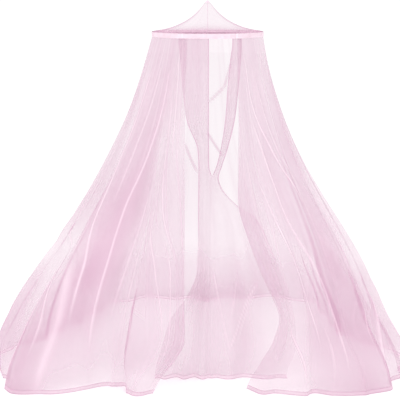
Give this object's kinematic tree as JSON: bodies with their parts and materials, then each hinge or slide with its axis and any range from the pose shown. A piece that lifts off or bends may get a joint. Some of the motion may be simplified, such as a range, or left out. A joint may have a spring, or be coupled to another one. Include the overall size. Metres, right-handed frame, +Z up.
{
  "type": "mosquito net canopy with hoop",
  "caption": "Ceiling-hung mosquito net: a tented cap and a hooped casing carry a wrap-round skirt with front flaps over a parted inner panel.",
  "frame": {"origin": "the hanging point, at the top of the ribbon loop where a ceiling hook bears", "axes": "+Z up, -Y towards the front opening between the flaps"},
  "size_m": [2.3327, 1.9445, 2.0303],
  "materials": {
    "net": "sheer pink polyester net, knitted in fine hexagons",
    "tape": "pale pink woven polyester tape",
    "ribbon": "pink woven ribbon",
    "hoop": "white plastic tube"
  },
  "bodies": {
    "root": {"hang_loop": "ribbon", "cap": "net", "casing": "tape", "hoop": "hoop", "net_main": "net", "net_front": "net"}
  },
  "joints": []
}
